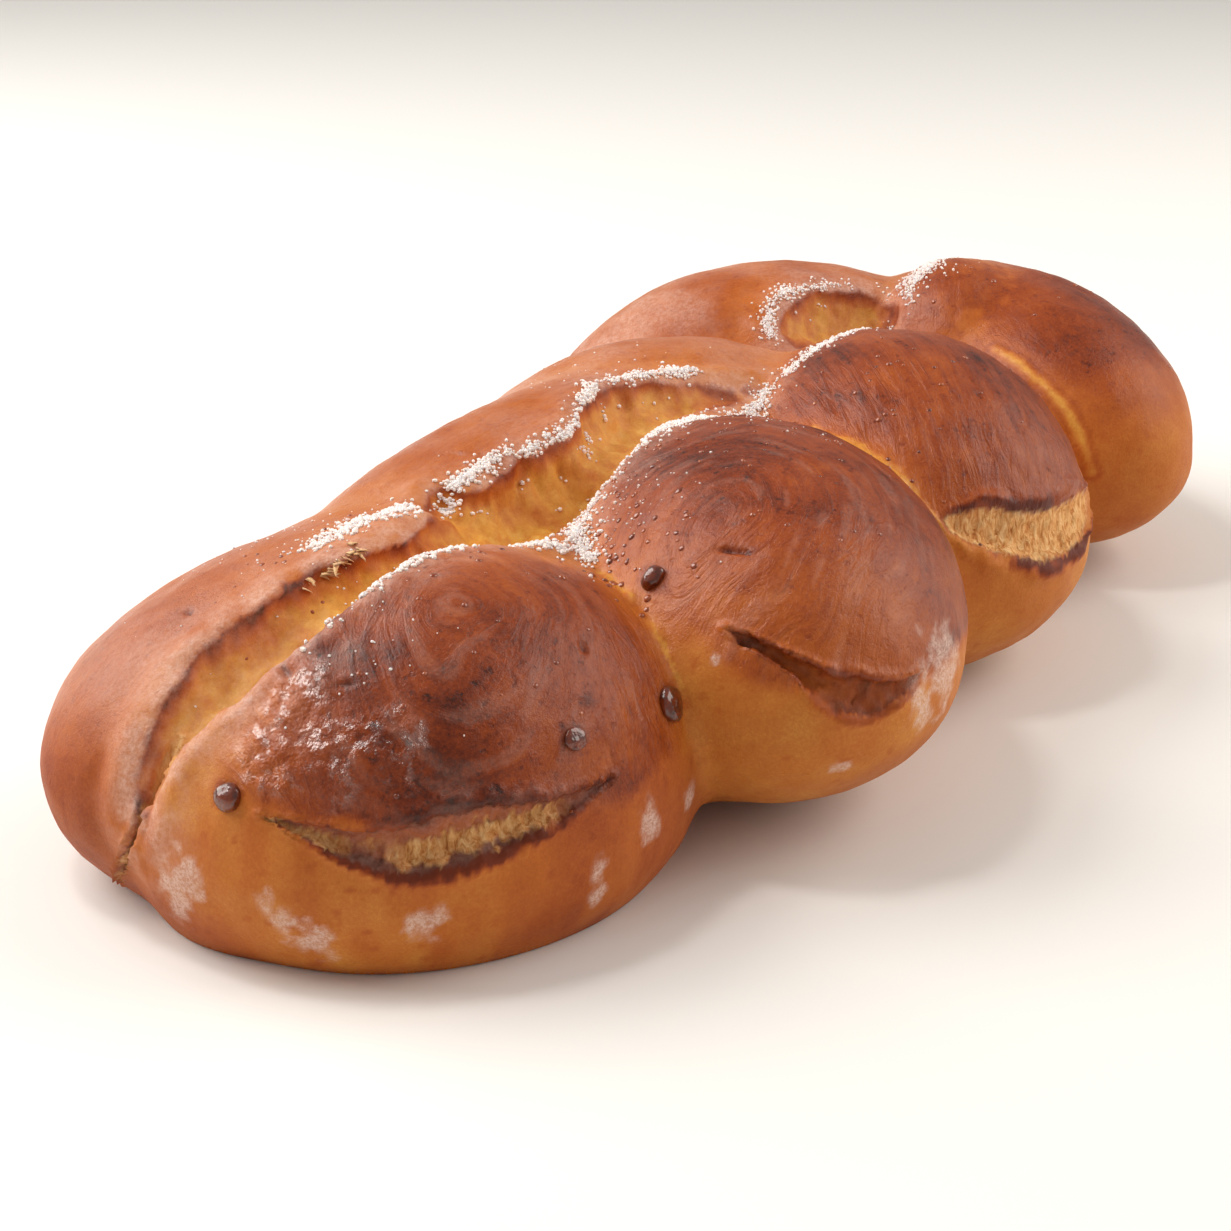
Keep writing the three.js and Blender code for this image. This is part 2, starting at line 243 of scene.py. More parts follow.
def split_reach(points, split):
    """How far points lie from a split, with 1 on its carved wall and 1 at its edge along the
    skin, then how far above its middle line they are, and at which share of its length."""
    stops, facing, depth = split
    wide = smooth_route(stops, SPLIT_STEPS)
    route = wide[:, :3]
    half = wide[:, 3].clip(0.3)
    facing = unit(np.array(facing, float))
    offset = points[:, None, :] - route[None]
    nearest = (offset**2).sum(-1).argmin(1)
    share = nearest / (len(route) - 1)
    tangent = unit(np.gradient(route, axis=0))
    side = unit(np.cross(facing, tangent))
    side *= np.sign(side[:, 2:3] + 1e-9)
    deep = np.cross(side, tangent)
    gap = offset[np.arange(len(points)), nearest]
    swell = np.sqrt(np.sin(np.pi * share.clip(0.03, 0.97)))
    over = (gap * side[nearest]).sum(-1)
    into = (gap * deep[nearest]).sum(-1)
    beyond = (gap * tangent[nearest]).sum(-1)
    across = (over / half[nearest]) ** 2
    ends = (beyond / SPLIT_END) ** 2
    reach = np.sqrt(across + (into / (depth * swell)) ** 2 + ends)
    return reach, np.sqrt(across + ends), over, share


def near_rows(points, stops, margin):
    """The points that a route of stops comes near to."""
    stops = np.array(stops, float)[:, :3]
    inside = np.all((points > stops.min(0) - margin) & (points < stops.max(0) + margin), axis=1)
    return np.flatnonzero(inside)


def split_distance(points):
    """Distance to the carved splits, with uneven edges."""
    nearest = np.full(len(points), 50.0)
    for k, split in enumerate(SPLITS.values()):
        rows = near_rows(points, split[0], 12)
        if not len(rows):
            continue
        reach = split_reach(points[rows], split)[0]
        rough = 0.16 * noise(points[rows] / 2.6, 31 + k) + 0.1 * noise(points[rows] / 1.1, 41 + k)
        nearest[rows] = np.minimum(nearest[rows], (reach - 1 + rough) * SPLIT_SHARPNESS)
    return nearest


def loaf_distance(points):
    """Distance to the skin, negative in the dough, without the floor."""
    dough = rounded_least(dough_distances(points), CREASE_ROUNDING)
    result = dough.copy()
    high = np.flatnonzero((points[:, 2] > 15) & (np.abs(points[:, 1]) < 48))
    hollow = hollow_distance(points[high])
    edge = np.flatnonzero(np.abs(hollow) < 6)
    near = points[high[edge]]
    hollow[edge] += 0.75 * noise(near / (5, 5, 9), 33) + 0.4 * noise(near / (2.1, 2.1, 4), 34)
    result[high] = -rounded_least(np.stack([-dough[high], hollow]), LIP_ROUNDING)
    carved = split_distance(points)
    near = np.flatnonzero(carved < 8)
    result[near] = -rounded_least(np.stack([-result[near], carved[near]]), SPLIT_ROUNDING)
    return result


def slope_of(function, points, step=0.15):
    """The gradient of a distance, by differences a small step apart."""
    columns = []
    for k in range(3):
        shift = np.zeros(3)
        shift[k] = step
        columns.append((function(points + shift) - function(points - shift)) / (2 * step))
    return np.stack(columns, -1)


# ---- the skin's mesh

# Mesh spacing: from, to, the spacing near the camera and far from it, and where it grows.
LENGTH_STEPS = (-168, 167, 0.74, 1.08, -40)
WIDTH_STEPS = (-84, 85, 0.8, 1.2, 5)
HEIGHT_STEPS = (0, 74, 0.82)
SPACING_GROWTH = 60
ROUGH_STRIDE = 4
CLOSE_TO_SKIN = 5
POINTS_AT_ONCE = 400000


def stretched_steps(start, end, near_step, far_step, turn_at):
    """Places from start to end whose spacing grows after turn_at."""
    places = [start]
    while places[-1] < end:
        grow = ramp(np.array(places[-1]), turn_at, turn_at + SPACING_GROWTH)
        places.append(places[-1] + near_step + (far_step - near_step) * float(grow))
    return np.array(places)


CORNERS = [(i, j, k) for i in (0, 1) for j in (0, 1) for k in (0, 1)]
EDGES = [(a, b) for a in range(8) for b in range(a + 1, 8)
         if sum(abs(p - q) for p, q in zip(CORNERS[a], CORNERS[b])) == 1]


def lattice_distances(xs, ys, zs):
    """Distances on the lattice: rough far from the skin, exact close to it."""
    cx, cy, cz = [np.append(s[::ROUGH_STRIDE], s[-1]) for s in (xs, ys, zs)]
    rough = np.stack(np.meshgrid(cx, cy, cz, indexing="ij"), -1)
    shape = rough.shape[:3]
    value = rounded_least(dough_distances(rough.reshape(-1, 3)), CREASE_ROUNDING)
    hollow = hollow_distance(rough.reshape(-1, 3))
    value = -rounded_least(np.stack([-value, hollow]), LIP_ROUNDING).reshape(shape)
    for axis, (fine, rare) in enumerate(((xs, cx), (ys, cy), (zs, cz))):
        k = np.clip(np.searchsorted(rare, fine, side="right") - 1, 0, len(rare) - 2)
        t = (fine - rare[k]) / np.maximum(rare[k + 1] - rare[k], 1e-9)
        t = t.reshape([-1 if n == axis else 1 for n in range(3)])
        value = np.take(value, k, axis) * (1 - t) + np.take(value, k + 1, axis) * t
    close = np.flatnonzero(np.abs(value).ravel() < CLOSE_TO_SKIN)
    i, j, k = np.unravel_index(close, value.shape)
    flat = value.ravel()
    for part in np.array_split(np.arange(len(close)), max(1, len(close) // POINTS_AT_ONCE)):
        points = np.stack([xs[i[part]], ys[j[part]], zs[k[part]]], -1)
        flat[close[part]] = loaf_distance(points)
    return flat.reshape(value.shape)


def net_over(xs, ys, zs, value):
    """A quad mesh with one point in each lattice cell that the skin passes, and which points
    lie in the lowest cells."""
    inside = value < 0
    n = [s - 1 for s in value.shape]
    total = sum(inside[i:n[0] + i, j:n[1] + j, k:n[2] + k].astype(np.int8) for i, j, k in CORNERS)
    active = (total > 0) & (total < 8)
    cells = np.argwhere(active)
    number = np.full(active.shape, -1)
    number[tuple(cells.T)] = np.arange(len(cells))
    places = np.stack([np.stack([xs[cells[:, 0] + i], ys[cells[:, 1] + j], zs[cells[:, 2] + k]], -1)
                       for i, j, k in CORNERS])
    levels = np.stack([value[cells[:, 0] + i, cells[:, 1] + j, cells[:, 2] + k] for i, j, k in CORNERS])
    points = np.zeros((len(cells), 3))
    hits = np.zeros(len(cells))
    for a, b in EDGES:
        crossed = (levels[a] < 0) != (levels[b] < 0)
        t = np.where(crossed, levels[a] / np.where(crossed, levels[a] - levels[b], 1), 0)
        points += np.where(crossed[:, None], places[a] + t[:, None] * (places[b] - places[a]), 0)
        hits += crossed
    points /= hits[:, None]
    quads = []
    for axis in range(3):
        u, v = [a for a in range(3) if a != axis]
        low = [slice(None)] * 3
        high = [slice(None)] * 3
        low[axis] = slice(0, -1)
        high[axis] = slice(1, None)
        first = inside[tuple(low)]
        second = inside[tuple(high)]
        crossed = np.argwhere(first != second)
        crossed = crossed[(crossed[:, u] > 0) & (crossed[:, v] > 0)
                          & (crossed[:, u] < n[u]) & (crossed[:, v] < n[v])]
        unit_u = np.eye(3, dtype=int)[u]
        unit_v = np.eye(3, dtype=int)[v]
        ring = [crossed - unit_u - unit_v, crossed - unit_v, crossed, crossed - unit_u]
        corners = np.stack([number[tuple(cell.T)] for cell in ring], -1)
        outward = first[tuple(crossed.T)]
        if axis == 1:
            outward = ~outward
        corners = np.where(outward[:, None], corners, corners[:, ::-1])
        quads.append(corners)
    return points, np.concatenate(quads), cells[:, 2] == 0


def skin_mesh():
    """The skin's points, drawn onto the true surface, its quads, and its directions."""
    xs = stretched_steps(*LENGTH_STEPS)
    ys = stretched_steps(*WIDTH_STEPS)
    zs = np.arange(*HEIGHT_STEPS)
    points, quads, lowest = net_over(xs, ys, zs, lattice_distances(xs, ys, zs))
    points[lowest, 2] = 0
    for _ in range(3):
        level = loaf_distance(points)
        slope = slope_of(loaf_distance, points)
        slope[lowest, 2] = 0
        size = np.maximum((slope**2).sum(-1), 0.15)
        points -= np.clip(level / size, -0.5, 0.5)[:, None] * slope
    return points, quads, unit(slope_of(loaf_distance, points))


# ---- what the oven did

# Lower edge of the egg wash on each bulge: a place on it, its rise with x and y, and its
# softness. Then how dark the washed top and the flank baked. The first right bulge's flank
# is set darker than the rest, partly painted shade on its side away from the light.
BAKING = {
    "right 1": (-140, -28, 29, 0.02, 0.12, 2.2, 0.85, 0.66),
    "right 2": (-80, -70, 37, 0, 0.24, 2.6, 0.78, 0.46),
    "right 3": (10, -71, 41, 0, 0.12, 1.4, 0.76, 0.45),
    "right 4": (110, -70, 46, 0, 0.03, 10, 0.77, 0.47),
    "left 1": (-140, 50, 30, 0, -0.1, 11, 0.62, 0.72),
    "left 2": (-60, 55, 32, 0, -0.1, 11, 0.60, 0.56),
    "left 3": (20, 58, 32, 0, -0.1, 11, 0.60, 0.56),
    "left 4": (100, 60, 32, 0, -0.1, 11, 0.60, 0.56),
    "shoulder 2": (-34, 60, 31, 0, -0.1, 11, 0.58, 0.56),
    "shoulder 3": (24, 60, 31, 0, -0.1, 11, 0.58, 0.56),
    "far end": (150, 10, 36, 0, 0, 11, 0.62, 0.56),
    "near end": (-160, 21, 31, 0, 0.1, 8, 0.62, 0.70),
    "base": (0, 0, 30, 0, 0, 11, 0.56, 0.56),
    "left 1 nose": (-97, 21, 40, 0, 0, 11, 0.70, 0.56),
    "right 4 shoulder": (106, -15, 44, 0, 0, 10, 0.77, 0.56),
}
# How far one bulge's baking runs into the next one's.
BLENDING = 1.6
# Rings of rolled dough on the first two right bulges: their middle, and how far they reach.
SWIRLS = [((-124, -12, 58), 34), ((-72, -34, 63), 60)]
# Raw flour on the flanks: x, y, z and radius.
FLOUR_PATCHES = [(-162, 20, 18, 4.5), (-162, 24, 13, 5), (-161, 4, 16, 2.6), (-161, 1, 13, 3.2),
                 (-159, -3, 9, 4.6), (-151, -20, 13, 3.4), (-125, -38, 10, 2.4), (-125, -39, 15, 2.8),
                 (-112, -42, 20, 3.2), (-97, -43, 17, 2.4), (-60, -77, 36, 7.5), (-68, -76, 31, 5),
                 (-83, -66, 22, 2.2), (-91, -44, 43, 1.2)]
# Glossy lumps of glaze that catch the light: x, y, z and radius.
GLAZE_PATCHES = [(-157, 6, 40, 8), (-154, -4, 42, 9), (-150, 4, 48, 9), (-146, -12, 42, 7)]
# Small pits and slits in the skin: x, y, z, half length, direction in plan, half width.
PITS = [(-145, -1, 51, 2.8, 118, 0.7), (-145, 10, 51, 2.0, 60, 0.8), (-131, 41, 50, 1.2, 0, 1.0),
        (-111, -29, 50, 1.6, 60, 0.9), (-77, -41, 58, 4.2, 96, 0.6), (-88, -49, 46, 2.4, 100, 0.9),
        (-72, -58, 51, 1.5, 60, 0.7), (-58, -52, 60, 1.3, 100, 0.6), (-120, 0, 57, 1.0, 20, 0.6),
        (-46, -64, 52, 1.6, 70, 0.7), (-40, -50, 60, 1.4, 60, 0.6), (20, -52, 62, 2.2, 60, 0.8)]
# How far the film of melted sugar spreads from a valley's edge.
FILM_SPREAD = 4.0
# Stands for the distance to a crease or seam that isn't near.
NOT_NEAR = 60.0
# Set the grain and the rings of one bulge apart from the next one's.
PATTERN_SHIFT = 97
RING_SHIFT = 200
# A pale stretched seam on the last bulge, beside the fold.
PALE_SEAM = [(84, -34, 53.5), (82.5, -37, 53), (81, -41, 52), (79, -45, 50), (78, -49, 48),
             (76.5, -53, 45.5), (75, -57, 41.5), (74, -60, 37), (74, -62.5, 31)]
# Darker stains where the glaze ran and burnt, and one pale patch: x, y, z, radius and how dark.
STAINS = [(-161, 22, 31, 10, 0.40), (107, -12, 61, 9, 0.76), (101, -24, 62, 13, 0.78),
          (98, -36, 61, 12, 0.77), (-120, -39, 30, 3.0, 0.82), (-115, -40, 30.5, 2.6, 0.8),
          (-107, -40, 32, 3.4, 0.78), (-124, -34, 39, 3.6, 0.86), (-98, -39, 36, 4.2, 0.8),
          (-117, -33, 43, 2.0, 0.86), (-82, -27, 52, 3.6, 0.82), (-160, 12, 33, 3.4, 0.8)]


def lip_side(points):
    """1 on the left side of the valleys and -1 on the right, with 0 far from them."""
    nearest = np.full(len(points), FAR_AWAY)
    side = np.zeros(len(points))
    for stops in VALLEYS:
        stops = np.array(stops, float)
        middle = np.interp(points[:, 0], stops[:, 0], stops[:, 1])
        beyond = np.maximum(stops[0, 0] - points[:, 0], points[:, 0] - stops[-1, 0]).clip(0)
        away = np.hypot(points[:, 1] - middle, beyond)
        better = away < nearest
        nearest[better] = away[better]
        side[better] = np.where(points[better, 1] > middle[better], 1, -1) * (beyond[better] < 14)
    return side


def skin_facts(points, normals):
    """What is true of each point of the skin, for its relief, colour and gloss."""
    facts = {}
    apart = dough_distances(points)
    order = np.argsort(apart, axis=0)
    bulge = order[0]
    rows = np.arange(len(points))
    facts["bulge"] = bulge
    facts["crease"] = apart[order[1], rows] - apart[order[0], rows]
    right = np.isin(order[:2], RIGHT_BULGES).all(0)
    facts["right crease"] = np.where(right, facts["crease"], NOT_NEAR)
    facts["under"] = -rounded_least(apart, CREASE_ROUNDING)
    facts["hollow"] = hollow_distance(points)
    facts["split"] = split_distance(points)
    facts["lip side"] = lip_side(points)
    along, across, above, edge, soft, top_brown, flank_brown_and_shade = np.zeros((7, len(points)))
    weight = np.exp(-(apart - apart.min(0)) / BLENDING)
    weight /= weight.sum(0)
    for k, name in enumerate(BULGES):
        here = bulge == k
        along[here], across[here], above[here] = bulge_frame(points[here], BULGES[name])
        x, y, z, with_x, with_y, softness, top, flank = BAKING[name]
        edge += weight[k] * (z + with_x * (points[:, 0] - x) + with_y * (points[:, 1] - y))
        soft += weight[k] * softness
        top_brown += weight[k] * top
        flank_brown_and_shade += weight[k] * flank
    facts["top brown"] = top_brown
    facts["flank brown"] = flank_brown_and_shade
    facts["front"] = weight[FIRST]
    facts["left row"] = weight[LEFT_ROW].sum(0)
    facts["grained"] = ramp(facts["crease"], 0.6, 3.0) * np.where(np.isin(bulge, SMOOTH_BULGES), 0.35, 1)
    wander = 2.0 * noise(points / 13, 3) + 1.1 * noise(points / 4.5, 4) + 0.6 * noise(points / 1.8, 5)
    facts["above edge"] = points[:, 2] - edge + wander
    facts["wash"] = ramp(facts["above edge"] / soft, -1, 1)
    facts["strand"] = np.stack([along + PATTERN_SHIFT * bulge, across, above], -1)
    facts["up"] = normals[:, 2]
    # How far the skin faces the light on the left, which sets where the painted sheen goes.
    facts["left"] = ramp(normals[:, 1] * 0.8 - normals[:, 0] * 0.4, -0.2, 0.7)
    facts["swirl"] = np.zeros((len(points), 3))
    facts["swirling"] = np.zeros(len(points))
    for k, (centre, reach) in zip(RIGHT_BULGES, SWIRLS):
        here = np.flatnonzero(bulge == k)
        offset = points[here] - centre + noise(points[here] / 14, 7)[:, None] * 2.5
        radius = np.hypot(offset[:, 0] * 0.9, offset[:, 1] * 1.15)
        angle = np.arctan2(offset[:, 1], offset[:, 0])
        ring = [np.cos(angle) * radius, np.sin(angle) * radius, 3 * radius + RING_SHIFT * k]
        facts["swirl"][here] = np.stack(ring, -1)
        uneven = radius + 3 * noise(points[here] / 6, 8)
        facts["swirling"][here] = 1 - ramp(uneven, reach * 0.6, reach)
    facts["glaze"] = np.zeros(len(points))
    for x, y, z, radius in GLAZE_PATCHES:
        away = np.linalg.norm(points - (x, y, z), axis=1) / radius
        facts["glaze"] = np.maximum(facts["glaze"], 1 - ramp(away + 0.4 * noise(points / 4, 9), 0.5, 1.1))
    facts["pit"] = pit_depth(points)
    seam = smooth_route(PALE_SEAM, 90)
    facts["seam"] = np.full(len(points), NOT_NEAR)
    rows = near_rows(points, PALE_SEAM, 12)
    facts["seam"][rows] = np.linalg.norm(points[rows][:, None] - seam[None], axis=2).min(1)
    return facts


def pit_depth(points):
    """1 in the middle of the small pits and slits, 0 outside them."""
    depth = np.zeros(len(points))
    for x, y, z, half_length, way, half_width in PITS:
        rows = np.flatnonzero(np.abs(points - (x, y, z)).max(1) < half_length + 3)
        dx, dy, dz = (points[rows] - (x, y, z)).T
        angle = math.radians(way)
        lengthwise = dx * math.cos(angle) + dy * math.sin(angle)
        aside = np.hypot(-dx * math.sin(angle) + dy * math.cos(angle), dz * 0.6)
        reach = np.hypot(lengthwise / half_length, aside / half_width) + 0.2 * noise(points[rows] / 1.2, 10)
        depth[rows] = np.maximum(depth[rows], 1 - ramp(reach, 0.3, 1.25))
    return depth


def relief(points, facts):
    """How far each point of the skin stands proud, in millimetres."""
    strand = facts["strand"]
    swirl = facts["swirl"]
    under = facts["under"]
    crust = 1 - ramp(under, 0.2, 1.5)
    wrinkle = layered(strand / (16, 2.6, 6), 11, 2)
    arcs = layered(swirl / (10.0, 10.0, 17.0), 12, 2)
    height = 0.55 * noise(points / 24, 1) + 0.25 * layered(points / 8, 2, 2)
    flow = wrinkle * (1 - facts["swirling"]) + arcs * facts["swirling"]
    flow *= facts["grained"]
    height += 0.16 * flow * crust * ramp(facts["above edge"], -4, 3)
    height += 0.35 * facts["glaze"] * layered(points / 2.4, 13, 2) * crust
    hollow = facts["hollow"]
    left_lip = (facts["lip side"] > 0) * crust
    right_lip = (facts["lip side"] < 0) * crust
    roll = bell(hollow, 3.6, 2.8) - 0.35 * bell(hollow, 9.5, 2.2)
    height += 0.8 * left_lip * roll * (1 + 0.8 * noise(points / 6, 17))
    height += 0.6 * right_lip * bell(hollow, 2.6, 2.2)
    valley = ramp(under, 0.4, 2.5)
    fibres = layered(points / (2.2, 2.2, 7), 14, 3)
    height += valley * (0.28 * fibres + 0.3 * noise(points / 5, 18))
    inside = ramp(-facts["split"], -0.6, 0.2)
    height += inside * (0.3 * layered(points / 2.6, 15, 3)) * np.where(facts["bulge"] == SECOND, 2.2, 1)
    lip = bell(facts["split"], 1.2, 0.9) * (1 - inside)
    height += 0.75 * lip * (1 + 0.8 * noise(points / 3, 16))
    height += 0.5 * bell(facts["right crease"], 0, 1.6) * layered(points / 2.4, 19, 2)
    height -= 0.9 * facts["pit"]
    height += 0.35 * bell(facts["seam"], 0, 1.0)
    return height * ramp(points[:, 2], 0, 5)


# How far the dough is baked where it stretched late or burnt.
SEAM_THREAD, SEAM_FLANKS, STRETCHED_SKIN, FOLD_SKIN, FOLD_BOTTOM = 0.26, 0.44, 0.34, 0.40, 0.14
PIT_BURNT = 0.90
# How far out the stretched skin shows beside the folds of the third and fourth right bulges.
STRETCHED_BANDS = {THIRD: 3.0, FOURTH: 5.5}
NO_BAND = 1e-3


# How baked each flank is. The first right bulge's darker flank also holds painted shade.
def flank_browning_and_shade(points, facts):
    x, y, z = points.T
    front = facts["front"]
    runs = np.stack([facts["strand"][:, 0] / 4, facts["strand"][:, 1] / 4, z / 40], -1)
    flank = facts["flank brown"] + 0.05 * layered(points / 14, 21, 2)
    flank += (0.03 + 0.06 * front) * noise(runs, 22) * facts["grained"]
    flank += 0.16 * front * (ramp(x + 0.5 * y, -160, -146) - 1)
    return flank - 0.07 * (1 - ramp(z, 0, 9))


def top_browning(points, facts):
    x, y, _ = points.T
    front = facts["front"]
    right_lip = facts["lip side"] < 0
    second = facts["bulge"] == SECOND
    top = facts["top brown"] + 0.05 * layered(points / 11, 23, 3)
    top += 0.06 * ramp(facts["up"], 0.45, 0.95) * ramp(noise(points / 17, 24), -0.5, 0.6)
    top -= 0.11 * front * ramp(x - 0.4 * y + 4 * noise(points / 9, 36), -136, -108)
    top -= 0.16 * right_lip * np.exp(-facts["hollow"].clip(0) / 9) * (1 - ramp(x, -70, -50))
    top -= 0.07 * front * (1 - ramp(x - 0.5 * y, -158, -140))
    top -= 0.14 * second * (1 - ramp(x + 0.35 * (y + 30) + 5 * noise(points / 8, 20), -92, -62))
    rim = bell(facts["above edge"], 1.6, 1.8) * np.isin(facts["bulge"], (FIRST, SECOND))
    return top + 0.06 * rim * ramp(noise(points / 8, 28), -0.4, 0.4)


def wall_browning_and_shadow(points, facts):
    """The valleys' walls and floors: a dark band just under the lip, partly scorched skin and partly
    painted shadow under the overhang, then paler with depth.
    """
    near = points[:, 0] < -100
    shade = facts["under"] + 0.8 * noise(points / (3, 3, 5), 25) + 0.4 * noise(points / 1.5, 26)
    wall = 0.755 + 0.075 * near - 0.20 * ramp(shade, 0.5, 1.8)
    wall -= 0.22 * ramp(shade, 1.4, 3.6) + 0.08 * ramp(shade, 4.0, 9.0) + 0.08 * near * ramp(shade, 1, 3)
    wall += 0.07 * layered(points / (1.6, 1.6, 8), 30, 2)
    return wall + 0.08 * ramp(noise(points / 6, 35), 0.0, 0.6)


def browning_and_shade(points, facts):
    """How far each point is baked, from 0 for pale dough to 1 for burnt, with painted shade in the dark
    band under the valley lips and on the first right bulge's flank.
    """
    x, _, z = points.T
    brown = flank_browning_and_shade(points, facts)
    brown += (top_browning(points, facts) - brown) * facts["wash"]

    def bake_to(level, share):
        nonlocal brown
        brown = brown + (level - brown) * share

    bake_to(FOLD_SKIN, 0.6 * bell(facts["crease"], 0, 6) * ramp(z, 4, 14))
    bottom = bell(facts["right crease"], 0, 1.3) * ramp(z, 12, 25) * ramp(noise(points / 3, 29), -0.6, 0.3)
    bake_to(FOLD_BOTTOM, bottom * np.where(x < -60, 0.55 * ramp(z, 40, 50), 0.9))
    here = [(facts["bulge"] == k) & (x > -30) & (x < 90) for k in STRETCHED_BANDS]
    band = np.select(here, list(STRETCHED_BANDS.values()), NO_BAND)
    ragged = facts["right crease"] + 1.6 * noise(points / 4, 37) + 0.8 * noise(points / 1.5, 38)
    bake_to(STRETCHED_SKIN, 0.85 * (1 - ramp(ragged / band, 0.45, 1.0)) * ramp(z, 30, 42))
    seam = facts["seam"] + 0.7 * noise(points / 3, 37) + 0.3 * noise(points / 1.2, 38)
    bake_to(SEAM_FLANKS, 0.6 * (1 - ramp(seam, 1.5, 5.5)))
    bake_to(SEAM_THREAD, 0.85 * bell(seam, 0, 0.8))
    brown += 0.16 * bell(seam, 2.0, 0.7) * (facts["seam"] > 1)
    bake_to(wall_browning_and_shadow(points, facts), ramp(facts["under"] + 0.3 * noise(points / 2.0, 26), 0.15, 0.5))
    bake_to(PIT_BURNT, 0.8 * facts["pit"])
    for x, y, z, radius, dark in STAINS:
        away = np.linalg.norm((points - (x, y, z)) / (1.2, 1.2, 0.8), axis=1) / radius
        bake_to(dark, 0.8 * (1 - ramp(away + 0.45 * noise(points / 2.4, 40), 0.45, 1.1)))
    return np.clip(brown, 0, 1)


# How pale the torn crumb in each split is, how scorched its upper and lower edges are, and
# how wide the scorching is for the split's half height, and between which shares of its
# length the upper and then the lower edge is scorched.
SPLIT_LOOKS = {"right 1 front": (1.0, 0.45, 0.9, 0.9, 0.0, 1.0, 0.1, 0.95),
               "right 2": (0.05, 0.6, 0.5, 0.7, 0.0, 0.8, 0.0, 1.0),
               "right 3": (1.0, 0.88, 0.92, 0.7, 0.06, 0.72, 0.36, 1.0),
               "near end": (0.8, 0.0, 0.0, 0.3, 0.0, 1.0, 0.0, 1.0)}


def flap_over(points, across, over, share):
    """1 where torn skin hangs over the front split's crumb, and 0 where the crumb shows."""
    flap = bell(share + 0.06 * noise(points / 2.5, 55), 0.33, 0.075)
    tongue = bell(share + 0.06 * noise(points / 2.0, 59), 0.6, 0.035)
    height = np.where(over > 0, across, -across) + 0.4 * noise(points / 3.0, 56)
    height += 0.25 * noise(points / 1.2, 57)
    height += 0.3 * (1 - ramp(share, 0.24, 0.34)) + 0.5 * tongue
    shut = np.maximum(flap, ramp(height, 0.1, 0.35))
    return np.maximum(shut, ramp(share, 0.82, 0.9))


def split_looks(points, facts):
    """(crumb, char): pale torn crumb inside the splits and scorched skin at their edges."""
    crumb = np.zeros(len(points))
    char = np.zeros(len(points))
    for name, split in SPLITS.items():
        pale, above, below, width, *ends = SPLIT_LOOKS[name]
        rows = near_rows(points, split[0], 16)
        _, across, over, share = split_reach(points[rows], split)
        torn = 1.6 if name == "right 1 front" else 1.0
        rough = torn * (0.14 * noise(points[rows] / 2.4, 51) + 0.08 * noise(points[rows] / 1.1, 53))
        opened = ramp(facts["under"][rows], 0.15, 0.5) * (1 - ramp(across + rough, 0.95, 1.1))
        first = np.where(over > 0, ends[0], ends[2])
        last = np.where(over > 0, ends[1], ends[3])
        taper = ramp(share, first, first + 0.08) * (1 - ramp(share, last - 0.08, last))
        outside = across + rough - 1.0
        edge = ramp(outside, -0.12, -0.02) * (1 - ramp(outside, 0.55 * width, width))
        spots = noise(points[rows] / (4, 4, 2.4), 52) + 0.25 * noise(points[rows] / 1.2, 54)
        strength = np.where(over > 0, above, below)
        if name == "right 1 front":
            shut = flap_over(points[rows], across, over, share)
            opened = opened * (1 - shut)
            burnt = (0.6 - 0.15 * (over > 0)) * shut * (1 - ramp(across, 0.9, 1.2))
            char[rows] = np.maximum(char[rows], burnt)
        if name == "right 2":
            char[rows] = np.maximum(char[rows], opened * (0.5 + 0.2 * noise(points[rows] / 2.0, 58)))
        crumb[rows] = np.maximum(crumb[rows], opened * pale)
        char[rows] = np.maximum(char[rows], edge * ramp(spots, -1.0, -0.3) * taper * strength)
    return crumb, char


def dusting_and_sheen(points, facts):
    """(the melted sugar with the painted sheen, and the flour): melted sugar glaze along the folds, painted
    sheen where the left row faces the light and partly along the rolled rings, and raw flour on the flanks.
    """
    crust = 1 - ramp(facts["under"], 0.1, 0.7)
    near_valley = np.exp(-np.maximum(facts["hollow"], 0) / FILM_SPREAD) * crust
    x, _, z = points.T
    patchy = 0.62 + 0.75 * layered(points / 5, 61, 3)
    haze = (1.1 + 0.7 * (1 - ramp(x, -100, -85))) * near_valley * np.clip(patchy, 0, 1)
    cloudy = np.clip(0.55 + 0.6 * layered(points / 12, 62, 3), 0, 1) * crust
    high = 1 - (1 - ramp(x, -112, -76)) * (1 - ramp(z, 26, 46))
    high *= 0.3 + 0.7 * ramp(z, 14, 36)
    # Painted sheen: the left row turns pale and pinkish where it faces the light, more so further along the
    # loaf.
    left = facts["left row"] * (0.35 + 0.65 * facts["left"])
    haze += (0.46 + 0.56 * ramp(x, -90, 0)) * left * cloudy * high
    haze += (1 - crust) * (0.34 * (1 - ramp(x, -134, -112)) + 0.14 * ramp(x, -60, -30))
    # Pale film along the rolled rings, partly a painted sheen on the glossy tops.
    arcs = layered(facts["swirl"] / (12, 12, 7), 65, 3)
    haze += 0.16 * facts["swirling"] * ramp(arcs, 0.1, 0.6) * crust * facts["wash"]
    haze += 0.06 * facts["glaze"] * np.clip(0.2 + 0.9 * layered(points / 2.5, 64, 3), 0, 1)
    flour = np.zeros(len(points))
    for x, y, z, radius in FLOUR_PATCHES:
        away = np.linalg.norm((points - (x, y, z)) / (1, 1, 1.25), axis=1) / radius
        ragged = 0.5 * layered(points / 2.8, 63, 3)
        flour = np.maximum(flour, 1 - ramp(away + ragged, 0.35, 1.05))
    return np.clip(haze, 0, 1), flour


# ---- materials

def srgb(red, green, blue):
    """A screen colour from 0 to 255 as the linear colour that shaders take."""
    def linear(value):
        value /= 255
        return value / 12.92 if value <= 0.04045 else ((value + 0.055) / 1.055) ** 2.4
    return (linear(red), linear(green), linear(blue), 1)


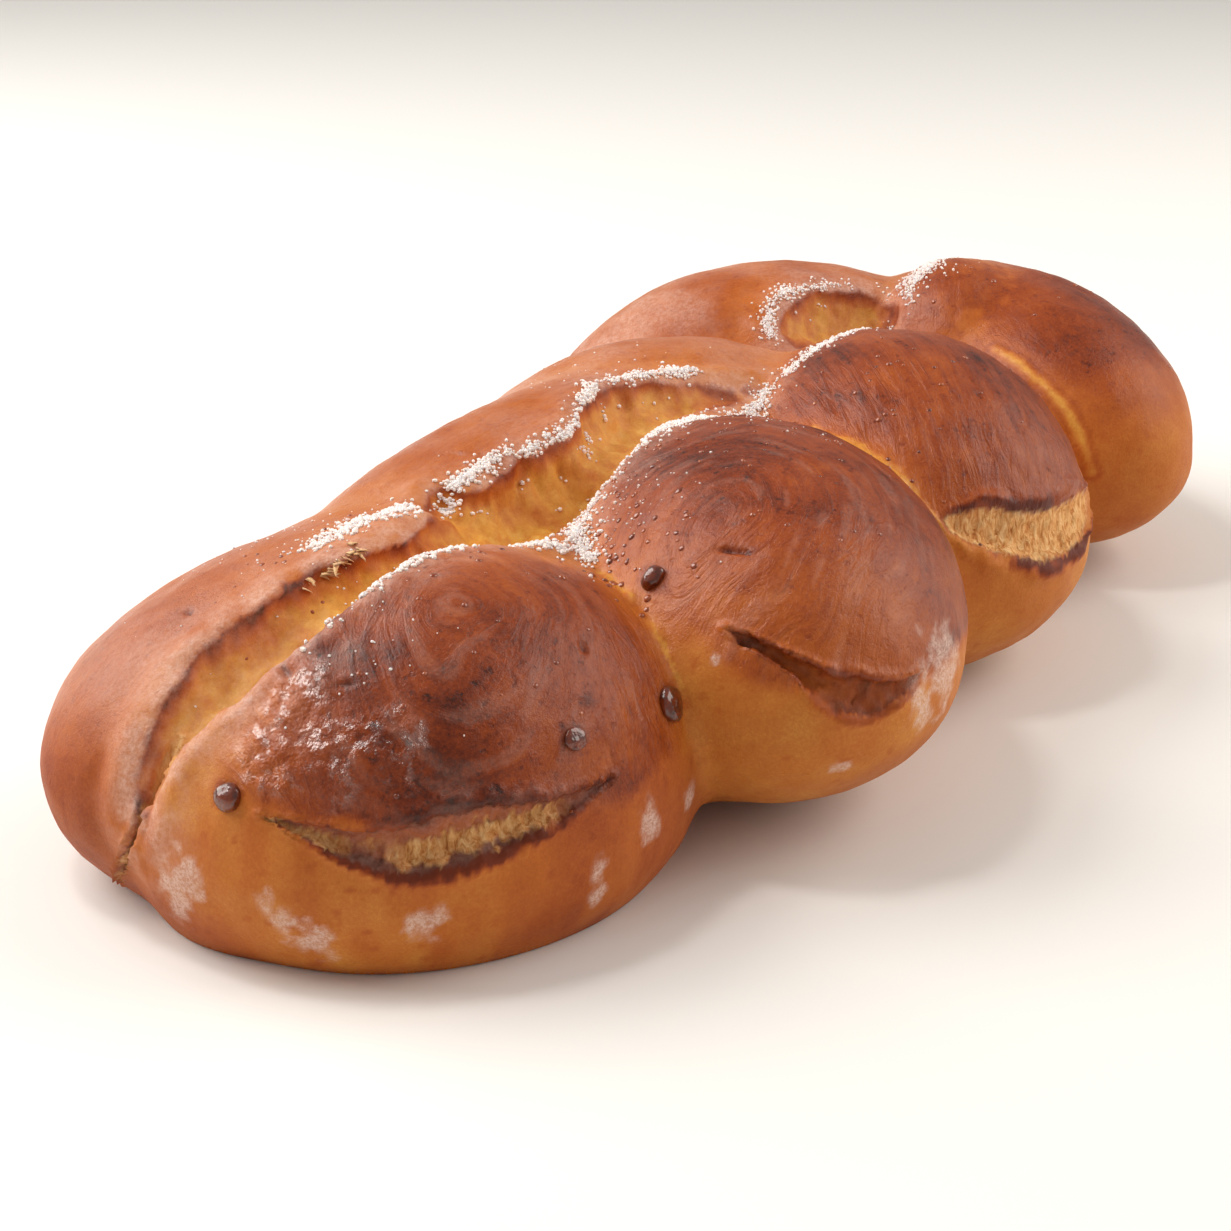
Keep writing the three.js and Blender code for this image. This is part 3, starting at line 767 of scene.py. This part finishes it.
class Nodes:
    """Short calls for building one material's nodes."""

    def __init__(self, name):
        self.material = bpy.data.materials.new(name)
        self.material.use_nodes = True
        self.tree = self.material.node_tree
        self.shader = self.tree.nodes["Principled BSDF"]

    def add(self, kind, **settings):
        node = self.tree.nodes.new(kind)
        for key, value in settings.items():
            setattr(node, key, value)
        return node

    def link(self, source, target):
        self.tree.links.new(source, target)

    def put(self, socket, value):
        """Links a socket or sets a number."""
        if isinstance(value, bpy.types.NodeSocket):
            self.link(value, socket)
        else:
            socket.default_value = value

    def mask(self, name):
        return self.add("ShaderNodeAttribute", attribute_name=name).outputs["Fac"]

    def vector(self, name):
        return self.add("ShaderNodeAttribute", attribute_name=name).outputs["Vector"]

    def place(self):
        """The object's own place, in millimetres."""
        return self.scaled(self.add("ShaderNodeTexCoord").outputs["Object"], (1 / MM, 1 / MM, 1 / MM))

    def scaled(self, vector, scale):
        node = self.add("ShaderNodeVectorMath", operation="MULTIPLY")
        self.link(vector, node.inputs[0])
        node.inputs[1].default_value = scale
        return node.outputs[0]

    def noise(self, vector, scale=1.0, detail=2.0, rough=0.5, warp=0.0):
        node = self.add("ShaderNodeTexNoise")
        self.link(vector, node.inputs["Vector"])
        numbers = {"Scale": scale, "Detail": detail, "Roughness": rough, "Distortion": warp}
        for key, number in numbers.items():
            node.inputs[key].default_value = number
        return node.outputs["Fac"]

    def math(self, operation, a, b=0.0, c=0.0):
        node = self.add("ShaderNodeMath", operation=operation)
        for socket, value in zip(node.inputs, (a, b, c)):
            self.put(socket, value)
        return node.outputs[0]

    def times(self, a, b):
        return self.math("MULTIPLY", a, b)

    def plus(self, base, value, share):
        """The base with a share of the value added."""
        return self.math("MULTIPLY_ADD", value, share, base)

    def centred(self, value):
        return self.math("SUBTRACT", value, 0.5)

    def span(self, value, low, high, to_low=0.0, to_high=1.0):
        node = self.add("ShaderNodeMapRange", interpolation_type="SMOOTHSTEP")
        numbers = {"From Min": low, "From Max": high, "To Min": to_low, "To Max": to_high}
        for key, number in numbers.items():
            node.inputs[key].default_value = number
        self.put(node.inputs["Value"], value)
        return node.outputs["Result"]

    def colours(self, value, stops):
        node = self.add("ShaderNodeValToRGB")
        self.link(value, node.inputs["Fac"])
        elements = node.color_ramp.elements
        while len(elements) < len(stops):
            elements.new(0.5)
        for element, (place, colour) in zip(elements, stops):
            element.position = place
            element.color = colour
        return node.outputs["Color"]

    def mix(self, share, first, second):
        node = self.add("ShaderNodeMix", data_type="RGBA")
        self.put(node.inputs["Factor"], share)
        self.put(node.inputs[6], first)
        self.put(node.inputs[7], second)
        return node.outputs[2]

    def bump(self, height, distance, strength):
        """Bumps the surface and its clear coat alike."""
        node = self.add("ShaderNodeBump")
        self.link(height, node.inputs["Height"])
        node.inputs["Distance"].default_value = distance
        node.inputs["Strength"].default_value = strength
        self.link(node.outputs["Normal"], self.shader.inputs["Normal"])
        self.link(node.outputs["Normal"], self.shader.inputs["Coat Normal"])

    def surface(self, **values):
        """Sets the shader's inputs: a word's underscores stand for spaces."""
        for key, value in values.items():
            self.put(self.shader.inputs[key.replace("_", " ")], value)


# From pale dough to burnt skin, by how far it baked.
BAKE_COLOURS = [
    (0.00, srgb(240, 208, 130)),
    (0.14, srgb(232, 184, 94)),
    (0.30, srgb(216, 150, 60)),
    (0.44, srgb(196, 116, 44)),
    (0.54, srgb(184, 98, 31)),
    (0.66, srgb(166, 80, 24)),
    (0.78, srgb(140, 58, 15)),
    (0.88, srgb(102, 36, 8)),
    (0.95, srgb(60, 20, 7)),
    (1.00, srgb(32, 15, 10)),
]
SCORCHED = 0.92
CRUMB_COLOURS = [(0.28, srgb(164, 92, 42)), (0.40, srgb(206, 138, 76)),
                 (0.55, srgb(230, 174, 112)), (0.75, srgb(246, 208, 154))]
SUGAR_COLOURS = [(0.3, srgb(244, 222, 212)), (0.7, srgb(255, 248, 244))]
FILM_AND_SHEEN_COLOUR = srgb(226, 184, 166)
FLOUR_COLOUR = srgb(236, 208, 194)


def crust_material():
    m = Nodes("crust")
    place = m.place()
    bake, wash, crumb, char, haze, flour, glaze, swirling = [m.mask(name) for name in (
        "bake", "wash", "crumb", "char", "haze", "flour", "glaze", "swirling")]
    strand = m.vector("strand")
    swirl = m.vector("swirl")

    streaks = m.noise(m.scaled(strand, (0.07, 0.52, 0.18)), 1, 4, 0.6, 0.8)
    arcs = m.noise(m.scaled(swirl, (0.09, 0.09, 0.11)), 1, 4, 0.62, 1.1)
    flow = m.times(m.centred(m.mix(swirling, streaks, arcs)), m.mask("grained"))
    mottle = m.noise(place, 0.2, 4, 0.6)
    speckle = m.noise(place, 1.4, 3, 0.6)
    fine = m.noise(place, 4.5, 2, 0.6)
    shift = m.times(m.centred(mottle), 0.15)
    shift = m.plus(shift, flow, m.times(wash, 0.28))
    freckles = m.span(m.noise(place, 0.5, 4, 0.6), 0.57, 0.70)
    shift = m.plus(shift, m.times(freckles, wash), 0.08)
    shift = m.plus(shift, m.centred(speckle), 0.19)
    shift = m.plus(shift, m.centred(fine), 0.12)
    baked = m.math("ADD", bake, shift)
    to_burnt = m.plus(SCORCHED, baked, -1)
    baked = m.math("ADD", baked, m.times(char, to_burnt))
    colour = m.colours(baked, BAKE_COLOURS)

    fibre = m.noise(m.scaled(place, (0.9, 0.9, 0.34)), 1, 4, 0.6, 0.8)
    colour = m.mix(crumb, colour, m.colours(fibre, CRUMB_COLOURS))

    # One pale colour serves both the melted sugar film and the painted sheen.
    film_and_sheen_cover = m.times(haze, m.span(m.noise(place, 0.9, 5, 0.75), 0.3, 0.7, 0.3, 1.0))
    colour = m.mix(m.times(film_and_sheen_cover, 0.7), colour, FILM_AND_SHEEN_COLOUR)
    powder = m.times(flour, m.span(m.noise(place, 1.5, 6, 0.8), 0.36, 0.62, 0.25, 1.0))
    colour = m.mix(m.times(powder, 0.75), colour, FLOUR_COLOUR)

    rough = m.span(wash, 0, 1, 0.55, 0.35)
    rough = m.plus(rough, m.centred(mottle), 0.2)
    glints = m.times(glaze, m.span(m.noise(place, 0.36, 4, 0.65), 0.48, 0.6))
    rough = m.plus(rough, glints, -0.2)
    rough = m.math("MAXIMUM", rough, m.times(m.math("MAXIMUM", crumb, powder), 0.85))
    coat = m.plus(m.times(wash, 0.05), glints, 1.0)
    m.surface(Base_Color=colour, Roughness=rough, Specular_IOR_Level=0.24,
              Coat_Weight=coat, Coat_Roughness=0.09, Coat_IOR=2.0)

    grain = m.noise(place, 2.4, 4, 0.65)
    lumps = m.noise(place, 0.55, 3, 0.55)
    height = m.times(flow, m.times(wash, 1.0))
    height = m.plus(height, grain, 0.2)
    height = m.plus(height, m.times(lumps, wash), 0.3)
    height = m.plus(height, freckles, -0.08)
    height = m.plus(height, m.times(lumps, glaze), 1.2)
    height = m.plus(height, m.times(fibre, crumb), 1.1)
    height = m.plus(height, m.times(grain, m.math("MAXIMUM", haze, powder)), 0.18)
    m.bump(height, 0.6 * MM, 0.9)
    return m.material


def bubble_material():
    m = Nodes("bubbles")
    place = m.place()
    tone = m.plus(m.mask("bake"), m.centred(m.noise(place, 0.8, 3)), 0.3)
    m.surface(Base_Color=m.colours(tone, BAKE_COLOURS), Roughness=0.3, Specular_IOR_Level=0.35,
              Coat_Weight=0.9, Coat_Roughness=0.08)
    m.bump(m.noise(place, 0.6, 2), 0.6 * MM, 0.5)
    return m.material


def sugar_material():
    m = Nodes("sugar")
    place = m.place()
    tone = m.noise(place, 0.9, 2)
    m.surface(Base_Color=m.colours(tone, SUGAR_COLOURS), Roughness=0.25, Subsurface_Weight=0.3,
              Subsurface_Radius=(1.0, 0.7, 0.5), Subsurface_Scale=0.8 * MM)
    m.bump(m.noise(place, 5, 2), 0.2 * MM, 0.5)
    return m.material


# ---- meshes

def new_object(name, points, faces, material):
    mesh = bpy.data.meshes.new(name)
    mesh.from_pydata((np.asarray(points) * MM).tolist(), [], np.asarray(faces).tolist())
    mesh.update()
    mesh.materials.append(material)
    made = bpy.data.objects.new(name, mesh)
    bpy.context.collection.objects.link(made)
    return made


def store(mesh, **layers):
    """Keeps a number or a vector for each point of a mesh, for its material to read."""
    for name, values in layers.items():
        values = np.asarray(values, np.float32)
        kind, key = ("FLOAT", "value") if values.ndim == 1 else ("FLOAT_VECTOR", "vector")
        mesh.attributes.new(name, kind, "POINT").data.foreach_set(key, values.ravel())


def make_bread(material):
    points, quads, normals = skin_mesh()
    facts = skin_facts(points, normals)
    raised = points + relief(points, facts)[:, None] * normals
    raised[:, 2] = np.maximum(raised[:, 2], 0)
    bread = new_object("bread_loaf", raised, quads, material)
    crumb, char = split_looks(points, facts)
    haze, flour = dusting_and_sheen(points, facts)
    crust = 1 - ramp(facts["under"], 0.3, 1.2)
    store(bread.data, bake=browning_and_shade(points, facts), wash=facts["wash"] * crust, crumb=crumb, char=char,
          haze=haze * (1 - crumb), flour=flour,
          **{name: facts[name] for name in ("glaze", "swirling", "grained", "strand", "swirl")})
    work = bmesh.new()
    work.from_mesh(bread.data)
    rim = [edge for edge in work.edges if edge.is_boundary]
    filled = bmesh.ops.holes_fill(work, edges=rim, sides=0)["faces"]
    bmesh.ops.triangulate(work, faces=filled)
    bmesh.ops.recalc_face_normals(work, faces=work.faces)
    work.to_mesh(bread.data)
    work.free()
    bread.data.shade_smooth()
    return bread


def skin_tree(bread):
    """The skin's faces in millimetres, to drop things onto."""
    vertices = np.zeros(len(bread.data.vertices) * 3)
    bread.data.vertices.foreach_get("co", vertices)
    faces = [face.vertices[:] for face in bread.data.polygons]
    return BVHTree.FromPolygons((vertices.reshape(-1, 3) / MM).tolist(), faces)


WELL_ABOVE = 120


def ball(subdivisions):
    """The corners and faces of a ball of triangles, one millimetre in radius."""
    work = bmesh.new()
    bmesh.ops.create_icosphere(work, subdivisions=subdivisions, radius=1)
    corners = np.array([v.co[:] for v in work.verts])
    faces = np.array([[v.index for v in face.verts] for face in work.faces])
    work.free()
    return corners, faces


class Heap:
    """Many small bodies gathered into one mesh, each with its own tone of baking."""

    def __init__(self):
        self.points = []
        self.faces = []
        self.tones = []
        self.count = 0

    def add(self, points, faces, tone=0.0):
        self.points.append(points)
        self.faces.append(faces + self.count)
        self.tones.append(np.full(len(points), tone))
        self.count += len(points)

    def made(self, name, material, smooth):
        heap = new_object(name, np.concatenate(self.points), np.concatenate(self.faces), material)
        if smooth:
            store(heap.data, bake=np.concatenate(self.tones))
            heap.data.shade_smooth()
        return heap


def dropped(tree, x, y, least_slope):
    """The point of the loaf's top at x, y, and the skin's direction there, or None past the
    loaf's edge and where the skin is too steep to hold anything."""
    hit, normal, _, _ = tree.ray_cast(Vector((x, y, WELL_ABOVE)), Vector((0, 0, -1)))
    if hit is None or normal.z < least_slope:
        return None
    return np.array(hit), np.array(normal)


def upright(normal):
    """Three directions, the last one along the normal."""
    side = unit(np.cross(normal, (0.31, 0.95, 0.05)))
    return np.stack([side, np.cross(normal, side), normal])


# Sugar lines: stops in plan, how far grains stray, how many there are and how coarse.
SUGAR_BANDS = [
    ([(-139, 11), (-128, 6), (-117, 3.5), (-104, 2)], 2.2, 420, 1.3),
    ([(-104, 2), (-92, 2), (-84, -1), (-79, -6)], 2.2, 420, 1.3),
    ([(-77, -12), (-73, -6), (-66, -4), (-50, -2), (-38, -5)], 4.2, 800, 1.0),
    ([(-38, -5), (-18, -7), (2, -7), (14, -6)], 3.6, 1100, 1.0),
    ([(-110, 29), (-103, 27), (-96, 25), (-88, 22)], 4.2, 620, 1.25),
    ([(-78, 20.5), (-67, 18.5), (-53, 13)], 2.6, 680, 1.1),
    ([(-53, 13), (-43, 11), (-37, 12.5), (-30, 15.5), (-22, 17)], 2.2, 600, 1.1),
    ([(-18, 16.5), (-12, 14), (-4, 11), (4, 7)], 2.2, 350, 1.1),
    ([(62, 15), (65, 17.5), (70, 18), (77, 17), (84, 13), (93, 8)], 2.6, 560, 0.9),
    ([(20, -8), (30, -11), (42, -14), (66, -11), (94, -9)], 3.8, 1000, 0.9),
    ([(92, -6), (99, -7), (106, -9)], 6.0, 560, 0.9),
]
GRAIN_SIZES = (0.18, 0.5)
STRAY_GRAINS = [((-136, 2), 7, 45), ((-68, -12), 8, 90), ((-20, -14), 10, 50), ((-125, 34), 16, 50),
                ((-100, 30), 10, 70), ((-8, 20), 12, 40)]


def make_sugar(material, tree):
    draw = np.random.default_rng(SEED)
    corners, faces = ball(1)
    heap = Heap()

    def add_grain(x, y, share=1.0):
        size = draw.uniform(*GRAIN_SIZES) * share
        stretch = draw.uniform(0.7, 1.25, 3)
        turn = draw.uniform(0, 2 * math.pi)
        landed = dropped(tree, x, y, 0.5)
        if landed:
            hit, normal = landed
            spin = np.array(Matrix.Rotation(turn, 3, "Z"))
            heap.add((corners * size * stretch) @ spin.T + hit + normal * size * 0.25, faces)

    for stops, stray, grains, coarse in SUGAR_BANDS:
        route = smooth_route([(x, y, 0) for x, y in stops], 80)[:, :2]
        clump = noise(np.pad(route, ((0, 0), (0, 1))) / 5.0, 71) * 0.5 + 0.6
        clump = np.clip(clump, 0.12, 1)
        for _ in range(grains):
            k = draw.choice(len(route), p=clump / clump.sum())
            reach = draw.normal(0, stray * 0.5) * (1 if draw.random() < 0.8 else 1.9)
            angle = draw.uniform(0, 2 * math.pi)
            add_grain(route[k, 0] + reach * math.cos(angle), route[k, 1] + reach * math.sin(angle), coarse)
    for (x, y), spread, grains in STRAY_GRAINS:
        for _ in range(grains):
            add_grain(*(np.array((x, y)) + draw.normal(0, spread, 2)), 0.6)
    return heap.made("coarse_sugar", material, smooth=False)


# Baked bubbles of caramelised glaze: middle in plan, spread, how many, and radius.
BUBBLE_FIELDS = [((-76, -16), (7, 9), 46, 0.62), ((-60, -12), (12, 6), 40, 0.5),
                 ((-48, -30), (16, 16), 42, 0.42), ((-126, -8), (16, 14), 26, 0.42),
                 ((-110, 0), (14, 4), 18, 0.5), ((20, -30), (22, 18), 34, 0.5),
                 ((96, -30), (22, 16), 16, 0.5), ((-118, 34), (16, 6), 14, 0.4),
                 ((-20, -40), (10, 12), 20, 0.5)]
BUBBLE_TONES = (0.68, 0.86)
BLISTER_TONE = 0.89


def make_bubbles(material, tree):
    draw = np.random.default_rng(SEED + 1)
    corners, faces = ball(2)
    heap = Heap()
    for middle, spread, number, radius in BUBBLE_FIELDS:
        for _ in range(number):
            x, y = draw.normal(middle, spread)
            size = radius * draw.uniform(0.6, 1.4)
            low = draw.uniform(0.45, 0.8)
            landed = dropped(tree, x, y, 0.2)
            if landed:
                hit, normal = landed
                shape = corners * (size * draw.uniform(0.85, 1.3), size, size * low)
                shape = shape @ upright(normal) + hit - normal * size * 0.15
                heap.add(shape, faces, draw.uniform(*BUBBLE_TONES))
    corners, faces = ball(4)
    for x, y, z, radius, wide, tall in BLISTERS:
        root, normal = [np.array(found) for found in tree.find_nearest(Vector((x, y, z)))[:2]]
        lumps = 1 + 0.16 * noise(corners * 1.1 + (x, y, z), 91)[:, None]
        shape = corners * lumps * (radius, radius * wide, radius * tall)
        heap.add(shape @ upright(normal) + root + normal * radius * 0.1, faces, BLISTER_TONE)
    return heap.made("glaze_bubbles", material, smooth=True)


# Torn flakes of skin standing out of the left lip: root, direction and length.
FLAKES = [(-119, 22, 55.5, -75, 2.2), (-116.5, 21.5, 56, -50, 3.0), (-114.5, 21, 56, -95, 2.8),
          (-112.5, 20.5, 56.5, -65, 3.4), (-110.5, 20, 57, -35, 3.0), (-108.5, 19.5, 57, -75, 2.4)]


FLAKES_AT_A_ROOT = 5
FLAKE_ROWS = 6
FLAKE_SECTION = ((-1, 0), (0, 0.14), (1, 0), (0, -0.12))


def make_flakes(material, tree):
    """Curling pointed ribbons, each with a ring of four points at every step of its length."""
    draw = np.random.default_rng(SEED + 2)
    heap = Heap()
    faces = [(4 * k + c, 4 * k + (c + 1) % 4, 4 * k + (c + 1) % 4 + 4, 4 * k + c + 4)
             for k in range(FLAKE_ROWS - 1) for c in range(4)]
    for x, y, z, way, length in FLAKES:
        root = np.array(tree.find_nearest(Vector((x, y, z)))[0])
        for _ in range(FLAKES_AT_A_ROOT):
            angle = math.radians(way + draw.normal(0, 35))
            ahead = np.array((math.cos(angle), math.sin(angle), draw.uniform(-0.5, 0.15)))
            aside = unit(np.cross(ahead, (0, 0, 1)))
            wide = draw.uniform(0.35, 0.8)
            reach = length * draw.uniform(0.35, 0.85)
            start = root + draw.normal(0, 0.6, 3) + (0, 0, 0.4)
            points = []
            for share in np.linspace(-0.25, 1, FLAKE_ROWS):
                middle = start + ahead * reach * share + np.array((0, 0, -0.4 * share * share))
                middle = middle + aside * draw.normal(0, 0.12)
                half = wide * (1 - max(share, 0) ** 1.5) + 0.06
                points += [middle + aside * half * side + np.array((0, 0, lift))
                           for side, lift in FLAKE_SECTION]
            heap.add(np.array(points), np.array(faces), draw.uniform(0.0, 0.14))
    flakes = heap.made("torn_flakes", material, smooth=True)
    everywhere = np.ones(heap.count)
    # The flakes take the pale film colour all over, partly painted light on their shaded side.
    store(flakes.data, crumb=0.2 * everywhere, haze=everywhere)
    return flakes


# ---- camera, floor, light

# The camera looks along the loaf from its near right corner, in degrees and millimetres.
VIEW_TURN = 28.0
VIEW_DOWN = 22.7
VIEW_DISTANCE = 481
VIEW_TARGET = (-41, 2.5, 23.6)
PHOTO_SIDE = 1231
FOCAL_PIXELS = 2322
SENSOR = 36.0
FLOOR_HALF = 4000
FLOOR_HEIGHT = -0.2


def camera_ways():
    turn = math.radians(VIEW_TURN)
    down = math.radians(VIEW_DOWN)
    forward = Vector((math.cos(turn) * math.cos(down), math.sin(turn) * math.cos(down), -math.sin(down)))
    right = Vector((math.sin(turn), -math.cos(turn), 0))
    return forward, right, right.cross(forward)


def put_down(name, data, place, ahead):
    """An object at a place in millimetres, looking ahead."""
    made = bpy.data.objects.new(name, data)
    made.location = place * MM
    made.rotation_euler = ahead.to_track_quat("-Z", "Y").to_euler()
    bpy.context.collection.objects.link(made)
    return made


def make_camera():
    forward, _, _ = camera_ways()
    data = bpy.data.cameras.new("camera")
    data.sensor_fit = "HORIZONTAL"
    data.sensor_width = SENSOR
    data.lens = SENSOR * FOCAL_PIXELS / PHOTO_SIDE
    data.clip_start = 10 * MM
    place = Vector(VIEW_TARGET) - forward * VIEW_DISTANCE
    bpy.context.scene.camera = put_down("camera", data, place, forward)


def make_floor():
    m = Nodes("floor")
    m.surface(Base_Color=srgb(236, 234, 230), Roughness=0.9)
    corners = [(x * FLOOR_HALF, y * FLOOR_HALF, FLOOR_HEIGHT)
               for x, y in ((-1, -1), (1, -1), (1, 1), (-1, 1))]
    floor = new_object("floor", corners, [(0, 1, 2, 3)], m.material)


def area_light(name, along, aside, up, size, power, colour):
    """A soft light placed from the loaf's middle, along the view, to its right, and up."""
    forward, right, _ = camera_ways()
    flat = Vector((forward.x, forward.y, 0)).normalized()
    data = bpy.data.lights.new(name, "AREA")
    data.shape = "SQUARE"
    data.size = size * MM
    data.energy = power
    data.color = colour
    place = flat * along + right * aside + Vector((0, 0, up))
    put_down(name, data, place, -place)


def make_light():
    world = bpy.data.worlds.new("studio")
    world.use_nodes = True
    background = world.node_tree.nodes["Background"].inputs
    background["Color"].default_value = (1.0, 0.965, 0.93, 1)
    background["Strength"].default_value = 0.38
    bpy.context.scene.world = world
    area_light("window", 210, -800, 690, 860, 12.8, (1.0, 0.97, 0.93))
    area_light("lamp", -40, -300, 800, 130, 1.4, (1.0, 0.98, 0.95))
    area_light("fill", 150, 950, 650, 900, 9, (1.0, 0.96, 0.9))


# ---- the scene

make_camera()
make_floor()
make_light()
bpy.context.scene.view_settings.view_transform = "Standard"

crust = crust_material()
bread = make_bread(crust)
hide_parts("bread")
tree = skin_tree(bread)
sugar = make_sugar(sugar_material(), tree)
bubbles = make_bubbles(bubble_material(), tree)
flakes = make_flakes(crust, tree)
for piece, slot in ((bread, "crust"), (bubbles, "crust"), (flakes, "crust"), (sugar, "sugar")):
    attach(piece, "root")
